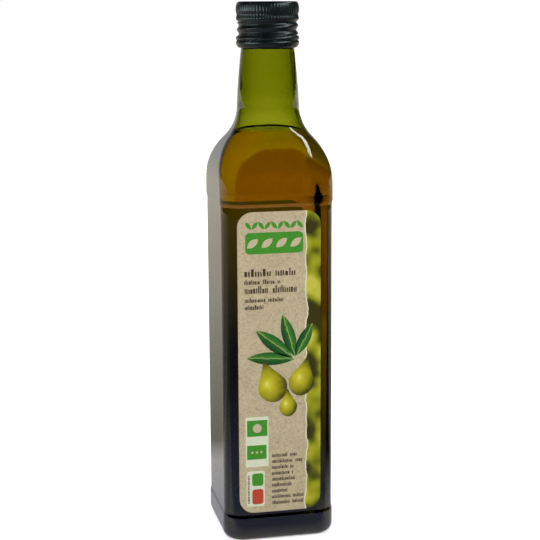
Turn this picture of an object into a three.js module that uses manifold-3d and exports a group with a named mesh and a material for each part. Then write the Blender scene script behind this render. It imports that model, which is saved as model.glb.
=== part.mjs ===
// Olive oil bottle: a square green glass bottle with rounded corners and a round neck,
// filled with oil, closed by an aluminium screw cap, with a paper label front and back.
// Millimetres, +Z up, origin at the middle of the base, front panel facing -Y.
import * as THREE from 'three';
import { mergeVertices } from 'three/addons/utils/BufferGeometryUtils.js';
import Module from 'manifold-3d';

const wasm = await Module();
wasm.setup();

// Bottle body
const BAND_HALF = 28.72;
const PANEL_RECESS = 0.45;
const PANEL_HALF = BAND_HALF - PANEL_RECESS;
const CORNER = 10.4;
const HEEL_RADIUS = 4.6;
const PANEL_BOTTOM = 14.7;
const PANEL_TOP = 172.0;
const STEP_HEIGHT = 2.3;

// Shoulder and neck
const SHOULDER_START = 185.6;
const SHOULDER_RADIUS = 29.3;
const NECK_RADIUS = 15.65;
const NECK_FILLET = 22.9;
const NECK_START = 220.1;
const ROUNDING_START = 178.3;
const ROUNDING_END = 225.0;
const TAPER_START = 229.0;
const TAPER_RADIUS = 15.42;
const FINISH_START = 248.5;
const FINISH_RADIUS = 13.38;
const MOUTH_TOP = 270.1;
const LIP_ROUND = 0.7;

// Glass thickness, base and bore
const WALL = 2.75;
const NECK_WALL = 2.4;
const BORE_RADIUS = 10.3;
const BORE_STEP = 246.2;
const PUSH_UP = 3.4;
const PUSH_UP_HALF = 15.0;
const BEARING_INNER_HALF = 20.0;
const FLOOR_EDGE = 6.4;
const FLOOR_CENTRE = 8.0;
const FLOOR_RADIUS = 7.0;
const LEAST_CORNER = 2.5;

// Oil
const OIL_LEVEL = 207.8;
const OIL_GAP = 0.3;

// Screw cap
const CAP_TOP = 271.4;
const CAP_BOTTOM = 248.65;
const CAP_SKIN = 0.75;
const CAP_BORE = 13.75;
const THREAD_ROOT = 14.4;
const THREAD_RISE = 0.95;
const THREAD_PITCH = 3.95;
const THREAD_LEFT_CREST = 257.7;
const THREAD_BOTTOM = 254.9;
const THREAD_TOP = 261.5;
const KNURL_COUNT = 60;
const KNURL_DEPTH = 0.2;
const KNURL_BOTTOM = 262.0;
const KNURL_TOP = 270.2;
const SLIT_COUNT = 8;
const SLIT_Z = 252.4;
const SLIT_HEIGHT = 0.45;
const BRIDGE_ANGLE = 0.13;

// Labels
const LABEL_GAP = 0.08;
const LABEL_THICKNESS = 0.22;
const LABEL_BOTTOM = 15.75;
const LABEL_TOP = 170.45;
const LABEL_CORNER = 7.5;
const FRONT_LABEL = { left: -21.8, right: 20.3 };
const BACK_LABEL = { left: -21.0, right: 21.0 };

// Facets round a section: flat and arc steps in each eighth of the outline
const FLAT_STEPS = 1;
const ARC_STEPS = 5;
const EIGHTH_STEPS = FLAT_STEPS + ARC_STEPS;
const OUTLINE_SIDES = 8 * EIGHTH_STEPS;
const CAP_SIDES = KNURL_COUNT;

// Materials
const glass = new THREE.MeshStandardMaterial({ color: 0x6b7024, roughness: 0.05, metalness: 0.0 });
const oilFill = new THREE.MeshStandardMaterial({ color: 0x9a7410, roughness: 0.1, metalness: 0.0 });
const lacqueredAluminium = new THREE.MeshStandardMaterial({ color: 0x14181a, roughness: 0.38, metalness: 0.5 });
const labelPaper = new THREE.MeshStandardMaterial({ color: 0xb5a986, roughness: 0.6, metalness: 0.0 });

// Distance along an eighth of a rounded square's outline for step t of it. Square sections
// keep their points on the corner arcs, and round ones spread them evenly.
function alongEighth(half, corner, t) {
  const flat = half - corner;
  const arc = corner * Math.PI / 4;
  const step = t * EIGHTH_STEPS;
  const onCorner = step <= FLAT_STEPS
    ? flat * step / FLAT_STEPS
    : flat + arc * (step - FLAT_STEPS) / ARC_STEPS;
  const roundness = THREE.MathUtils.smoothstep(corner / half, 0.5, 1.0);
  return THREE.MathUtils.lerp(onCorner, t * (flat + arc), roundness);
}

// Point number i on a rounded square, starting in the middle of the front side.
function outlinePoint(half, corner, i) {
  const eighth = Math.floor(i / EIGHTH_STEPS) % 8;
  const odd = eighth % 2;
  const t = (i % EIGHTH_STEPS) / EIGHTH_STEPS;
  const s = alongEighth(half, corner, odd ? 1 - t : t);
  const flat = half - corner;
  const turn = s > flat ? (s - flat) / corner : 0;
  const across = s > flat ? flat + corner * Math.sin(turn) : s;
  const out = s > flat ? flat + corner * Math.cos(turn) : half;
  const point = new THREE.Vector2(odd ? -across : across, -out);
  return point.rotateAround(new THREE.Vector2(), Math.ceil(eighth / 2) * Math.PI / 2);
}

// Closed body from a profile of sections, each a half-width, a corner radius and a height.
// A lathe gives the surface, and its vertices are then set on the rounded squares.
function squareLathe(profile) {
  const radii = profile.map(section => new THREE.Vector2(section.half, section.z));
  const geometry = new THREE.LatheGeometry(radii, OUTLINE_SIDES);
  const position = geometry.attributes.position;
  for (let i = 0; i <= OUTLINE_SIDES; i++) {
    profile.forEach((section, j) => {
      const onAxis = section.half === 0;
      const point = onAxis ? new THREE.Vector2() : outlinePoint(section.half, section.corner, i);
      position.setXYZ(i * profile.length + j, point.x, point.y, section.z);
    });
  }
  return welded(geometry);
}

// Closed round body from a profile of radius and height, with an optional radial relief.
function roundLathe(profile, sides, relief = () => 0) {
  const geometry = new THREE.LatheGeometry(profile.map(([r, z]) => new THREE.Vector2(r, z)), sides);
  geometry.rotateX(Math.PI / 2);
  const position = geometry.attributes.position;
  for (let v = 0; v < position.count; v++) {
    const side = Math.floor(v / profile.length) % sides;
    const angle = side * 2 * Math.PI / sides - Math.PI / 2;
    const [r, z] = profile[v % profile.length];
    const radius = r > 0 ? r + relief(side, angle, r, z) : 0;
    position.setXYZ(v, radius * Math.cos(angle), radius * Math.sin(angle), z);
  }
  return welded(geometry);
}

function welded(geometry) {
  geometry.deleteAttribute('normal');
  geometry.deleteAttribute('uv');
  return mergeVertices(geometry, 1e-4);
}

function toManifold(geometry) {
  return new wasm.Manifold(new wasm.Mesh({
    numProp: 3,
    vertProperties: new Float32Array(geometry.attributes.position.array),
    triVerts: new Uint32Array(geometry.index.array),
  }));
}

function toGeometry(solid) {
  const mesh = solid.getMesh();
  const geometry = new THREE.BufferGeometry();
  geometry.setAttribute('position', new THREE.BufferAttribute(new Float32Array(mesh.vertProperties), 3));
  geometry.setIndex(new THREE.BufferAttribute(new Uint32Array(mesh.triVerts), 1));
  return geometry;
}

// Points on an arc in the profile plane, from one angle to another.
function arcPoints(centreX, centreZ, radius, from, to, steps) {
  return Array.from({ length: steps + 1 }, (_, k) => {
    const angle = THREE.MathUtils.lerp(from, to, k / steps);
    return [centreX + radius * Math.cos(angle), centreZ + radius * Math.sin(angle)];
  });
}

// Corner radius of the outside. Up to the top of the panels every outline runs parallel to
// the band's, and above them the corner grows until the section is a circle in the neck.
function outerCorner(half, z) {
  if (z <= PANEL_TOP) {
    return CORNER - (BAND_HALF - half);
  }
  return THREE.MathUtils.lerp(CORNER, half, THREE.MathUtils.smoothstep(z, ROUNDING_START, ROUNDING_END));
}

// Shoulder and neck fillet, as the outline's half-widths and heights, moved inwards by inset.
function shoulderCurve(inset, steps) {
  const convexX = BAND_HALF - SHOULDER_RADIUS;
  const concaveX = NECK_RADIUS + NECK_FILLET;
  const tangent = Math.atan2(NECK_START - SHOULDER_START, concaveX - convexX);
  const convex = arcPoints(convexX, SHOULDER_START, SHOULDER_RADIUS - inset, 0, tangent, steps);
  const concave = arcPoints(concaveX, NECK_START, NECK_FILLET + inset, Math.PI + tangent, Math.PI, steps);
  return [...convex, ...concave.slice(1)];
}

// A section of the wall, set inwards from the outside by inset.
function wallSection([half, z], inset) {
  return { half, z, corner: Math.max(outerCorner(half + inset, z) - inset, LEAST_CORNER) };
}

// Outside of the glass, from the middle of the base up to the lip.
function outerSections() {
  const heelCentre = BAND_HALF - HEEL_RADIUS;
  const pushUp = [
    { half: 0, corner: 0, z: PUSH_UP },
    { half: PUSH_UP_HALF, corner: 0.8 * PUSH_UP_HALF, z: 0.8 * PUSH_UP },
    { half: BEARING_INNER_HALF, corner: 0.45 * BEARING_INNER_HALF, z: 0 },
  ];
  const wall = [
    ...arcPoints(heelCentre, HEEL_RADIUS, HEEL_RADIUS, -Math.PI / 2, 0, 4),
    [BAND_HALF, PANEL_BOTTOM - STEP_HEIGHT],
    [PANEL_HALF, PANEL_BOTTOM],
    [PANEL_HALF, PANEL_TOP],
    [BAND_HALF, PANEL_TOP + STEP_HEIGHT],
    ...shoulderCurve(0, 5),
    [TAPER_RADIUS, TAPER_START],
    [FINISH_RADIUS, FINISH_START],
    [FINISH_RADIUS, MOUTH_TOP - LIP_ROUND],
    [FINISH_RADIUS - LIP_ROUND, MOUTH_TOP],
  ];
  return [...pushUp, ...wall.map(point => wallSection(point, 0))];
}

// Inside of the glass from the floor up to a height, kept clear of it by gap.
function innerSections(gap, top) {
  const inset = WALL + gap;
  const half = BAND_HALF - inset;
  const floorCentre = half - FLOOR_RADIUS;
  const wall = [
    ...arcPoints(floorCentre, FLOOR_EDGE + gap + FLOOR_RADIUS, FLOOR_RADIUS, -Math.PI / 2, 0, 3),
    [half, PANEL_TOP],
    ...shoulderCurve(inset, 4),
    [TAPER_RADIUS - NECK_WALL - gap, TAPER_START],
  ];
  const below = wall.filter(([, z]) => z < top - 0.5).map(point => wallSection(point, inset));
  return [{ half: 0, corner: 0, z: FLOOR_CENTRE + gap }, ...below];
}

function bottleGeometry() {
  const boreTop = [
    [FINISH_RADIUS - NECK_WALL, BORE_STEP - 1.0],
    [BORE_RADIUS, BORE_STEP],
    [BORE_RADIUS, MOUTH_TOP - LIP_ROUND],
    [BORE_RADIUS + LIP_ROUND, MOUTH_TOP],
  ].map(([half, z]) => ({ half, z, corner: half }));
  const inside = [...innerSections(0, MOUTH_TOP), ...boreTop].reverse();
  return squareLathe([...outerSections(), ...inside]);
}

// The oil fills the inside up to its level, with its top cut flat between two wall sections.
function oilGeometry() {
  const wall = innerSections(OIL_GAP, OIL_LEVEL);
  const whole = innerSections(OIL_GAP, MOUTH_TOP);
  const low = wall[wall.length - 1];
  const high = whole[wall.length];
  const share = (OIL_LEVEL - low.z) / (high.z - low.z);
  const rim = {
    half: THREE.MathUtils.lerp(low.half, high.half, share),
    corner: THREE.MathUtils.lerp(low.corner, high.corner, share),
    z: OIL_LEVEL,
  };
  return squareLathe([...wall, rim, { half: 0, corner: 0, z: OIL_LEVEL }]);
}

// Roll-formed screw thread: one ridge that climbs to the right across the front.
function threadRelief(side, angle, r, z) {
  if (z < THREAD_BOTTOM || z > THREAD_TOP) {
    return 0;
  }
  const crest = THREAD_LEFT_CREST + THREAD_PITCH * (angle - Math.PI) / (2 * Math.PI);
  const turns = (z - crest) / THREAD_PITCH;
  const offCrest = Math.abs(turns - Math.round(turns));
  const ridge = Math.cos(Math.PI * Math.min(1, offCrest * 2) / 2) ** 2;
  return THREAD_RISE * ridge;
}

function knurlRelief(side, angle, r, z) {
  const fluted = z >= KNURL_BOTTOM && z <= KNURL_TOP && side % 2 === 1;
  return fluted ? -KNURL_DEPTH : 0;
}

// Upper drum of the cap, with upright flutes above a narrow waist and a bead.
function capDrum() {
  return roundLathe([
    [0, THREAD_TOP - 0.5],
    [THREAD_ROOT - 0.1, THREAD_TOP - 0.5],
    [15.45, 262.3],
    [15.7, 263.1],
    [15.4, 264.6],
    [15.45, 265.6],
    [15.8, 266.8],
    [15.75, 269.0],
    [15.5, KNURL_TOP],
    [14.9, CAP_TOP - 0.25],
    [14.2, CAP_TOP],
    [0, CAP_TOP],
  ], 2 * KNURL_COUNT, knurlRelief);
}

// Threaded skirt, with the beads of the tamper band and the edge that tucks in under it.
function capSkirt() {
  const threadRings = 9;
  const thread = Array.from({ length: threadRings + 1 }, (_, k) => [
    THREAD_ROOT,
    THREE.MathUtils.lerp(THREAD_BOTTOM, THREAD_TOP, k / threadRings),
  ]);
  return roundLathe([
    [0, CAP_BOTTOM],
    [14.0, CAP_BOTTOM],
    [15.0, 249.4],
    [15.65, 250.4],
    [15.8, 251.5],
    [15.5, SLIT_Z - SLIT_HEIGHT / 2],
    [15.5, SLIT_Z + SLIT_HEIGHT / 2],
    [15.87, 253.5],
    [15.5, 254.4],
    ...thread,
    [0, THREAD_TOP],
  ], CAP_SIDES, threadRelief);
}

// Hollow of the cap, following the rolled skin so that the aluminium stays thin.
function capHollow() {
  const wide = 15.5 - CAP_SKIN;
  return roundLathe([
    [0, CAP_BOTTOM - 1],
    [CAP_BORE, CAP_BOTTOM - 1],
    [CAP_BORE, CAP_BOTTOM + 0.5],
    [wide, CAP_BOTTOM + 1.9],
    [wide, THREAD_BOTTOM - 1.0],
    [CAP_BORE, THREAD_BOTTOM],
    [CAP_BORE, THREAD_TOP],
    [wide - 0.1, THREAD_TOP + 1.5],
    [wide - 0.1, CAP_TOP - 2 * CAP_SKIN],
    [wide - 0.9, CAP_TOP - CAP_SKIN],
    [0, CAP_TOP - CAP_SKIN],
  ], CAP_SIDES);
}

// One slit of the tear line, an arc that ends short of the next one by a bridge.
function capSlit(k) {
  const span = 2 * Math.PI / SLIT_COUNT;
  const from = k * span + BRIDGE_ANGLE / 2;
  const to = (k + 1) * span - BRIDGE_ANGLE / 2;
  const outline = new THREE.Shape();
  outline.absarc(0, 0, 17, from, to, false);
  outline.absarc(0, 0, 14, to, from, true);
  const extrusion = { depth: SLIT_HEIGHT, bevelEnabled: false, curveSegments: 4 };
  const geometry = new THREE.ExtrudeGeometry(outline, extrusion);
  geometry.translate(0, 0, SLIT_Z - SLIT_HEIGHT / 2);
  return welded(geometry);
}

function capGeometry() {
  const drum = toManifold(capDrum());
  const skirt = toManifold(capSkirt());
  let cap = drum.add(skirt).subtract(toManifold(capHollow()));
  for (let k = 0; k < SLIT_COUNT; k++) {
    cap = cap.subtract(toManifold(capSlit(k)));
  }
  return toGeometry(cap);
}

// Half of the panel outline seen from above, moved out by gap, from one side to the other.
function panelPath(gap) {
  const half = PANEL_HALF + gap;
  const corner = outerCorner(PANEL_HALF, PANEL_TOP - 1) + gap;
  const first = OUTLINE_SIDES - EIGHTH_STEPS;
  return Array.from({ length: 2 * EIGHTH_STEPS + 1 }, (_, k) => (
    outlinePoint(half, corner, (first + k) % OUTLINE_SIDES)
  ));
}

// Paper label: a thin sheet bent to the panel, cut to a rounded rectangle.
function labelGeometry({ left, right }) {
  const back = panelPath(LABEL_GAP);
  const face = panelPath(LABEL_GAP + LABEL_THICKNESS);
  const sheetOutline = new THREE.Shape([...back, ...face.reverse()]);
  const height = LABEL_TOP - LABEL_BOTTOM;
  const sheet = new THREE.ExtrudeGeometry(sheetOutline, { depth: height + 2, bevelEnabled: false });
  sheet.translate(0, 0, LABEL_BOTTOM - 1);
  const cutOutline = new THREE.Shape();
  const c = LABEL_CORNER;
  cutOutline.absarc(right - c, LABEL_TOP - c, c, 0, Math.PI / 2, false);
  cutOutline.absarc(left + c, LABEL_TOP - c, c, Math.PI / 2, Math.PI, false);
  cutOutline.absarc(left + c, LABEL_BOTTOM + c, c, Math.PI, 1.5 * Math.PI, false);
  cutOutline.absarc(right - c, LABEL_BOTTOM + c, c, 1.5 * Math.PI, 2 * Math.PI, false);
  const cut = new THREE.ExtrudeGeometry(cutOutline, { depth: BAND_HALF, bevelEnabled: false, curveSegments: 6 });
  cut.rotateX(Math.PI / 2);
  cut.translate(0, -BAND_HALF / 4, 0);
  return toGeometry(toManifold(welded(sheet)).intersect(toManifold(welded(cut))));
}

function addPiece(group, name, geometry, material) {
  const mesh = new THREE.Mesh(geometry, material);
  mesh.name = name;
  group.add(mesh);
  return mesh;
}

const group = new THREE.Group();
addPiece(group, 'glass_bottle', bottleGeometry(), glass);
addPiece(group, 'oil', oilGeometry(), oilFill);
addPiece(group, 'screw_cap', capGeometry(), lacqueredAluminium);
addPiece(group, 'front_label', labelGeometry(FRONT_LABEL), labelPaper);
addPiece(group, 'back_label', labelGeometry(BACK_LABEL), labelPaper).rotation.z = Math.PI;

export default group;
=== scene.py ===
import math
import random

import bmesh
import bpy
from mathutils import Matrix, Vector, noise


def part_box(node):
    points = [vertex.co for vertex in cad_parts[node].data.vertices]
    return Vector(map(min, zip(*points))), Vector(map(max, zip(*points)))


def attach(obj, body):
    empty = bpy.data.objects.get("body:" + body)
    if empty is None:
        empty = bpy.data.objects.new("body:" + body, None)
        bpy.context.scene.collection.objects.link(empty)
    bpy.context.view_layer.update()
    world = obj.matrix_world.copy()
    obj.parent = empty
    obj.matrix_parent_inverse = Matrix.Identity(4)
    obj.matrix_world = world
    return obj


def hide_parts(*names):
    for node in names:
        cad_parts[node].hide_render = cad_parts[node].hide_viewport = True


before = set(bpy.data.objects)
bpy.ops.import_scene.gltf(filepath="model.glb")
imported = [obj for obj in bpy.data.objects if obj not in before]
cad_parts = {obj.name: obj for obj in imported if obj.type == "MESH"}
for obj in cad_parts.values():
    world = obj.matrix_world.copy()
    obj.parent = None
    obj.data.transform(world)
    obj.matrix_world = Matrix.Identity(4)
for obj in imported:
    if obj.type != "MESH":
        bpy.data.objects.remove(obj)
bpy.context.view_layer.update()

MM = 0.001
PER_MM = (1 / MM, 1 / MM, 1 / MM)

# Body of the bottle
GLASS_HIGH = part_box("glass_bottle")[1]
BAND_HALF = GLASS_HIGH.x
MOUTH_TOP = GLASS_HIGH.z
PANEL_RECESS = 0.45 * MM
PANEL_HALF = BAND_HALF - PANEL_RECESS
CORNER = 10.4 * MM
HEEL_RADIUS = 4.6 * MM
PANEL_BOTTOM = 14.7 * MM
PANEL_TOP = 172.0 * MM
STEP_HEIGHT = 2.3 * MM

# Shoulder and neck
SHOULDER_START = 185.6 * MM
SHOULDER_RADIUS = 29.3 * MM
NECK_RADIUS = 15.65 * MM
NECK_FILLET = 22.9 * MM
NECK_START = 220.1 * MM
ROUNDING_START = 178.3 * MM
ROUNDING_END = 225.0 * MM
TAPER_START = 229.0 * MM
TAPER_RADIUS = 15.42 * MM
FINISH_START = 248.5 * MM
FINISH_RADIUS = 13.38 * MM
LIP_ROUND = 0.7 * MM

# Glass thickness, base and bore
WALL = 2.75 * MM
NECK_WALL = 2.4 * MM
BODY_THINNING = 0.25 * MM
BODY_THINNING_START = (20 * MM, 40 * MM)
SHOULDER_THINNING = 0.9 * MM
SHOULDER_THINNING_START = (160 * MM, 192 * MM)
SHOULDER_THINNING_END = (212 * MM, 228 * MM)
BORE_RADIUS = 10.3 * MM
BORE_STEP = 250.6 * MM
BORE_STEP_HEIGHT = 1.4 * MM
PUSH_UP = 3.4 * MM
PUSH_UP_RINGS = 8
BEARING_INNER_HALF = 20.0 * MM
FLOOR_EDGE = 6.4 * MM
FLOOR_CENTRE = 8.0 * MM
FLOOR_RADIUS = 7.0 * MM
LEAST_CORNER = 2.5 * MM
OUTSIDE_WAVE = 0.02 * MM
INSIDE_WAVE = 0.16 * MM
WAVE_WIDTH = 11 * MM
WAVE_LENGTH = 34 * MM

# Oil
OIL_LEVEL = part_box("oil")[1].z
OIL_BITE = 0.12 * MM
MENISCUS_RISE = 0.6 * MM
MENISCUS_WIDTH = 1.1 * MM
MENISCUS_STEPS = 12

# Cap
CAP_LOW, CAP_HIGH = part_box("screw_cap")
CAP_TOP = CAP_HIGH.z
CAP_BOTTOM = CAP_LOW.z
CAP_BORE = 13.75 * MM
THREAD_ROOT = 14.4 * MM
THREAD_RISE = 0.95 * MM
THREAD_PITCH = 3.95 * MM
THREAD_LEFT_CREST = 257.7 * MM
THREAD_BOTTOM = 254.9 * MM
THREAD_TOP = 261.5 * MM
THREAD_RINGS = 40
THREAD_EASE = 0.15 * MM
KNURL_COUNT = 60
KNURL_DEPTH = 0.26 * MM
KNURL_BOTTOM = 262.2 * MM
KNURL_TOP = 270.0 * MM
SLIT_COUNT = 8
SLIT_Z = 252.4 * MM
SLIT_DEPTH = 0.55 * MM
SLIT_HEIGHT = 0.45 * MM
BRIDGE_ANGLE = 0.13

# Profile of the cap in millimetres: radius and depth under the top, or radius and height
CAP_TOP_EDGE = [
    (0, 0.25), (6, 0.25), (12.6, 0.22), (13.3, 0.05), (13.9, 0), (14.5, 0.12), (15.0, 0.5), (15.35, 1.1),
    (15.55, 1.8),
]
CAP_DRUM = [
    (15.72, 268.4), (15.78, 266.9), (15.68, 266.2), (15.42, 265.5), (15.38, 264.9), (15.5, 264.1),
    (15.68, 263.4), (15.7, 262.9), (15.5, 262.4), (15.0, 261.9),
]
CAP_BEAD = [(15.15, 254.6), (15.6, 254.25), (15.84, 253.75), (15.86, 253.35), (15.72, 252.95)]
CAP_BAND = [
    (15.7, 251.9), (15.79, 251.4), (15.76, 250.9), (15.62, 250.3), (15.35, 249.75), (15.0, 249.3),
    (14.6, 248.95), (14.2, 248.75),
]
SLIT_GROOVE = [(15.55, 0.6), (15.52, 0.4), (15.5, 0), (15.52, -0.4), (15.55, -0.6)]

# Labels
LABEL_LOW, LABEL_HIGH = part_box("front_label")
BACK_LABEL_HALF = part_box("back_label")[1].x
LABEL_RISE = -LABEL_LOW.y - PANEL_HALF
LABEL_SINK = 0.05 * MM
LABEL_CORNER = 7.5 * MM
PRINT_LIFT = 0.025 * MM
PRINT_SINK = 0.01 * MM
TORN_EDGE = 13.0

# Clear materials: linear colour and density of what they absorb
GLASS_IOR = 1.52
GLASS_TINT = (0.715, 0.735, 0.004)
GLASS_DENSITY = 1300
OIL_IOR = 1.47
OIL_TINT = (0.99, 0.93, 0.05)
OIL_DENSITY = 100

# Colours of paper (linear) and of the prints and the lacquer (display values from 0 to 255)
PAPER_LIGHT = (0.45, 0.382, 0.247)
PAPER_DARK = (0.402, 0.338, 0.214)
SPECKLE = (108, 90, 58)
FIBRE = (118, 98, 66)
TORN_FRINGE = (206, 206, 176)
FOLIAGE = [
    (0.38, (52, 48, 2)), (0.45, (80, 82, 4)), (0.52, (116, 120, 5)), (0.59, (140, 142, 20)),
    (0.68, (172, 170, 62)),
]
DROP_SHADES = [
    (0.0, (202, 196, 96)), (0.1, (184, 178, 60)), (0.3, (164, 158, 22)), (0.6, (136, 130, 6)),
    (0.8, (98, 94, 2)), (0.95, (60, 58, 4)),
]
LEAF_SHADES = [
    (0.05, (24, 84, 26)), (0.40, (52, 108, 34)), (0.49, (128, 150, 84)), (0.53, (30, 88, 28)),
    (0.95, (16, 62, 22)),
]
LACQUER = [(0.3, (6, 9, 9)), (0.7, (13, 18, 18))]
DARK_INK = [(0.3, (44, 30, 22)), (0.75, (84, 68, 50))]
GREEN_INK = [(0.3, (46, 122, 24)), (0.75, (68, 136, 40))]
WHITE_INK = [(0.3, (184, 190, 162)), (0.75, (200, 204, 178))]
RUSSET_INK = [(0.3, (158, 52, 34)), (0.75, (176, 70, 40))]
PRINT_SURFACE = {"Roughness": 0.7, "Specular IOR Level": 0.25}

# Print of the labels in millimetres on the panel. Rows of marks hold left and right end, base,
# height and stroke; forms hold x, z and half sizes, and then a corner radius or a turn in degrees
FRONT_ROWS = [
    (-18.5, 8.3, 138.3, 3.7, 0.8),
    (-18.5, 0.1, 134.4, 2.3, 0.5),
    (-18.4, 9.2, 129.8, 3.7, 0.6),
    (-18.4, 1.5, 125.3, 2.3, 0.42),
    (-18.4, -7.1, 121.7, 2.3, 0.42),
]
SMALL_ROW_ENDS = [8.0, 11.2, 6.6, 6.4, 8.5, 6.6, 3.2, 11.4, 11.4]
SMALL_ROW_LEFT = -5.0
SMALL_ROW_STEP = 3.14
LEAF_ROW = (-16.4, 9.6, 163.7)
LEAF_ROW_COUNT = 9
LEAF_ROW_TILT = 52
OPENING_ROW = (-14.3, 7.6, 154.85)
OPENING_COUNT = 4
OPENING_TILT = 38
BACK_ROW_STEP = 3.3
FRONT_FRAMES = [(-12.7, 53.3, 5.9, 13.1, 0.5), (-13.6, 28.5, 4.7, 9.4, 1.4)]
FRONT_GREEN_FIELDS = [
    (-3.35, 154.85, 14.6, 5.3, 2.2), (-12.6, 60.4, 5.2, 4.2, 0), (-12.9, 47.8, 5.0, 3.7, 0),
    (-12.5, 33.3, 2.9, 3.3, 1.3),
]
FRONT_RUSSET_FIELDS = [(-12.5, 24.2, 2.9, 4.0, 1.3)]
BACK_GREEN_FIELDS = [(0, 152.0, 17.5, 6.0, 2.2), (0, 80.5, 17.5, 0.3, 0)]
BACK_FRAMES = [(0, 28.0, 16.0, 9.0, 1.0)]
LEAVES = [
    (-5.5, 96.2, 12.5, 3.3, 176), (-3.6, 103.6, 12.0, 3.6, 142), (3.8, 107.5, 11.5, 3.4, 106),
    (11.6, 105.0, 9.5, 3.0, 62),
]
DROPS = [(-5.0, 82.8, 7.7, 9.4, 18), (10.6, 84.6, 6.7, 8.6, -14), (3.4, 71.6, 4.7, 6.0, 2)]

# Facets of the fine surfaces
FLAT_STEPS = 6
ARC_STEPS = 13
EIGHTH_STEPS = FLAT_STEPS + ARC_STEPS
OUTLINE_SIDES = 8 * EIGHTH_STEPS
CAP_SIDES = 6 * KNURL_COUNT

# Camera, solved from the bottle's outline
CAMERA_DISTANCE = 0.6941
CAMERA_AZIMUTH = math.radians(-12.276)
CAMERA_YAW = math.radians(-0.053)
CAMERA_HEIGHT = 0.27237
CAMERA_PITCH = math.radians(11.145)
CAMERA_ROLL = math.radians(-0.303)
CAMERA_LENS = 91.64

# Stage: plain surroundings. Below, four numbers in a row are the range of a value and the range
# that it becomes, places count metres, and colours are linear
FLOOR_HALF = 30.0
# Painted glow on the floor, weaker near the bottle, so the floor is darker round its base
FLOOR_GLOW_NEAR = 0.64
FLOOR_GLOW_FAR = 0.95
AMBIENT = 0.22
WHITE = (1.0, 1.0, 1.0)

# Painted reflection: glow that the floor shows only to rays mirrored by the glass, the floor from front to
# back, and how it fades to the sides
MIRROR_REACH = 1.28
FLOOR_PAINTED_REFLECTION = [
    (0.0, (0.03, 0.03, 0.03)), (0.285, (0.16, 0.16, 0.19)), (0.395, (0.24, 0.25, 0.33)),
    (0.462, (0.33, 0.36, 0.54)), (0.481, (0.33, 0.36, 0.56)), (0.486, (1.0, 1.0, 1.0)),
    (0.5, (0.6, 0.6, 0.66)), (0.54, (0.8, 0.78, 0.76)), (0.555, (0.32, 0.3, 0.26)),
    (0.6, (0.42, 0.4, 0.34)), (0.72, (0.66, 0.62, 0.53)), (1.0, (0.88, 0.85, 0.72)),
]
MIRROR_RIGHT_FADE = (0.07, 0.16, 1.0, 0.04)
MIRROR_LEFT_FADE = (-0.3, -0.1, 0.35, 1.0)
MIRROR_AHEAD = (0.0, 0.12, 0.0, 1.0)
MIRROR_RETURNED = (0.15, 0.8, 0.02, 0.3)

# Painted glow that the floor shows only to rays sent straight through the bottle, which paints what is
# seen through it: the floor by distance, and its fields beside the middle
BEHIND_REACH = 3.4
PAINTED_GLOW_BEHIND = [
    (0.0, (0.93, 0.75, 0.9)), (0.08, (0.93, 0.75, 0.9)), (0.1, (0.79, 0.57, 0.8)),
    (0.136, (0.92, 0.66, 0.9)), (0.146, (0.62, 0.307, 0.5)), (0.176, (0.614, 0.279, 0.5)),
    (0.25, (0.643, 0.286, 0.5)), (0.324, (0.73, 0.32, 0.5)), (0.44, (0.83, 0.364, 0.6)),
]
WEDGE_COLOUR = (0.93, 0.57, 0.8)
WEDGE_LEAN = 0.42
WEDGE_EDGE = (-0.02, 0.01, 0.0, 1.0)
BESIDE_COLOUR = (0.68, 0.36, 0.5)
SECTOR_SLOPE = 0.6
SECTOR_EDGE = (-0.02, 0.04, 0.0, 1.0)
AIR_COLOUR = (0.786, 0.77, 0.8)
# Painted shade round the base, and painted light to the right and far off, in the glow seen through the
# bottle
CONTACT_STRETCH = 1.5
CONTACT_SHADE = (0.06, 0.1, 0.02, 1.0)
RIGHT_LIGHT = (0.0, 0.06, 0.0, 1.0)
FAR_LIGHT = (0.15, 0.8, 0.12, 1.0)
BEHIND_STRENGTH = 1.4

# Surroundings in the mirror, by direction, and through the bottle
INNER_BY_Y = (0.35, 0.75, 0.0, 1.0)
INNER_BY_Z = (0.08, 0.25, 1.0, 0.1)
OUTER_BY_Y = (0.72, 0.98, 0.0, 0.8)
OUTER_BY_Z = (0.1, 0.5, 1.0, 0.25)
WORLD_THROUGH_AIR = (1.1, 1.1, 1.1)
WORLD_THROUGH_OIL = (1.16, 0.51, 0.84)
AIR_SURFACES = 5.0


def smoothstep(value, low, high):
    """How far a value is from low to high, eased at both ends."""
    t = min(1.0, max(0.0, (value - low) / (high - low)))
    return t * t * (3 - 2 * t)


def lerp(a, b, t):
    """The value a share t of the way from a to b."""
    return a + (b - a) * t


def arc(centre_x, centre_z, radius, start, end, steps):
    """Points on an arc in the profile plane."""
    angles = [lerp(start, end, k / steps) for k in range(steps + 1)]
    return [(centre_x + radius * math.cos(a), centre_z + radius * math.sin(a)) for a in angles]


def straight(a, b, steps):
    """Points between two ends of a profile, both left out."""
    return [(lerp(a[0], b[0], k / steps), lerp(a[1], b[1], k / steps)) for k in range(1, steps)]


def s_curve(a, b, steps):
    """Points between two ends of a profile, which leave and arrive upright."""
    shares = [k / steps for k in range(1, steps)]
    return [(lerp(a[0], b[0], smoothstep(t, 0, 1)), lerp(a[1], b[1], t)) for t in shares]


def outer_corner(half, z):
    """Corner radius of the outside, from the square panels to the round neck."""
    if z <= PANEL_TOP:
        return CORNER - (BAND_HALF - half)
    return lerp(CORNER, half, smoothstep(z, ROUNDING_START, ROUNDING_END))


def wall_sections(points, inset):
    """Sections of a wall that lies an inset within the outside."""
    return [(half, max(outer_corner(half + inset, z) - inset, LEAST_CORNER), z) for half, z in points]


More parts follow.
